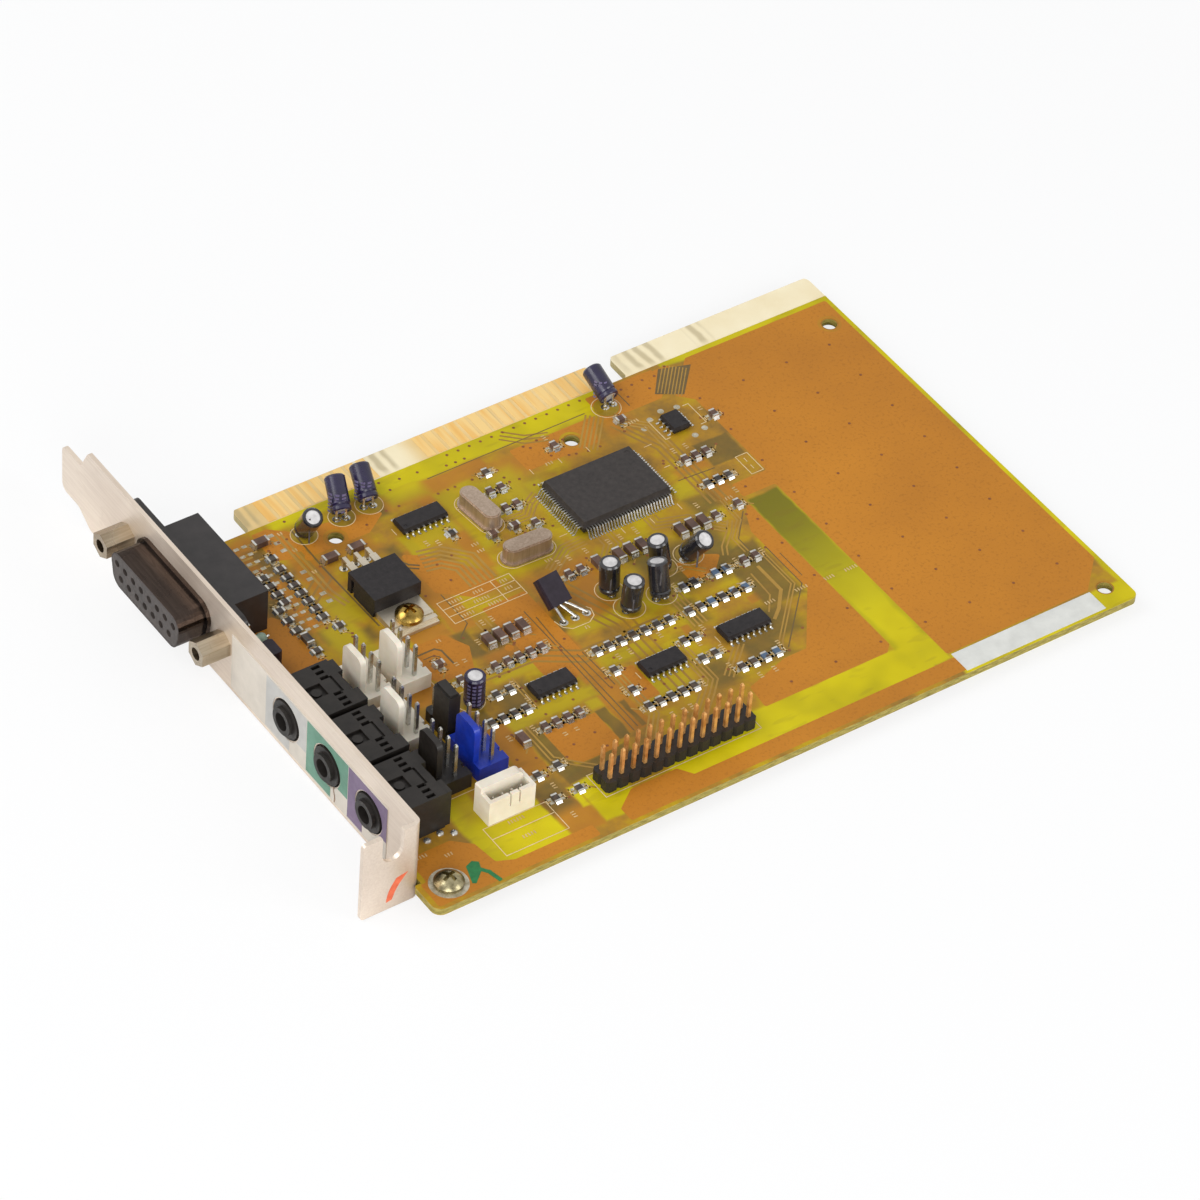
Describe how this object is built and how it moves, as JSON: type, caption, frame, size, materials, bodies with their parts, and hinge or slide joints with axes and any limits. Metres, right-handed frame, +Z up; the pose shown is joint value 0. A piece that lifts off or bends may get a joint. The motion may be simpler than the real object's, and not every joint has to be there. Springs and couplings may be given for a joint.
{
  "type": "isa sound card",
  "caption": "Full sound card for a 16-bit ISA slot: orange board, steel bracket with audio jacks and game port, chips, locking headers and round capacitors.",
  "frame": {"origin": "centre of the bounding box's bottom face, in the plane that the bracket's lower long edge lies in", "axes": "+X from the bracket to the board's far edge, +Y towards the edge contacts, +Z up from the component side"},
  "size_m": [0.168, 0.1282, 0.0184],
  "materials": {
    "laminate": "satin",
    "yellow_mask": "gloss",
    "orange_mask": "gloss",
    "gold_plate": "polished",
    "tin": "satin",
    "bracket_steel": "satin",
    "grey_film": "satin",
    "blue_film": "satin",
    "green_film": "satin",
    "purple_film": "satin",
    "shell_steel": "satin",
    "screw_steel": "satin",
    "screw_brass": "satin",
    "black_moulding": "satin",
    "grey_moulding": "satin",
    "black_epoxy": "matt",
    "crystal_steel": "satin",
    "black_sleeve": "gloss",
    "blue_sleeve": "gloss",
    "can_aluminium": "satin",
    "brown_ceramic": "satin",
    "resistor_black": "gloss",
    "white_nylon": "satin",
    "blue_nylon": "satin",
    "green_ferrite": "matt",
    "white_paper": "matt"
  },
  "bodies": {
    "root": {"circuit_board": "laminate", "solder_mask": "yellow_mask", "copper_pour": "orange_mask", "edge_contacts": "gold_plate", "tinned_pads": "tin", "solder_joints": "tin", "mounting_bracket": "bracket_steel", "port_label": "grey_film", "label_blue_field": "blue_film", "label_green_field": "green_film", "label_purple_field": "purple_film", "game_port_shell": "shell_steel", "game_port_insert": "grey_moulding", "game_port_housing": "black_moulding", "game_port_contacts": "tin", "game_port_clips": "tin", "jack_screws": "screw_steel", "audio_jack_1": "black_moulding", "audio_jack_2": "black_moulding", "audio_jack_3": "black_moulding", "jack_contacts": "tin", "regulator_body": "black_epoxy", "regulator_leadframe": "tin", "regulator_screw": "screw_brass", "regulator_nut": "screw_steel", "board_screw": "screw_steel", "codec_body": "black_epoxy", "codec_leads": "tin", "logic_chip": "black_epoxy", "memory_chip": "black_epoxy", "filter_chip": "black_epoxy", "mixer_chip": "black_epoxy", "amplifier_chip": "black_epoxy", "small_chip_leads": "tin", "crystal_cans": "crystal_steel", "crystal_leads": "tin", "black_capacitors": "black_sleeve", "blue_capacitors": "blue_sleeve", "capacitor_cans": "can_aluminium", "capacitor_leads": "tin", "transistor_body": "black_epoxy", "transistor_legs": "tin", "mute_transistor": "black_epoxy", "mute_transistor_legs": "tin", "green_choke": "green_ferrite", "choke_leads": "tin", "chip_resistors": "resistor_black", "chip_capacitors": "brown_ceramic", "chip_ends": "tin", "feature_header": "black_moulding", "feature_pins": "gold_plate", "white_headers": "white_nylon", "black_header": "black_moulding", "blue_header": "blue_nylon", "cd_header": "white_nylon", "header_pins": "tin", "jumper_header": "black_moulding", "jumper_cap": "black_moulding", "board_sticker": "white_paper"}
  },
  "joints": []
}
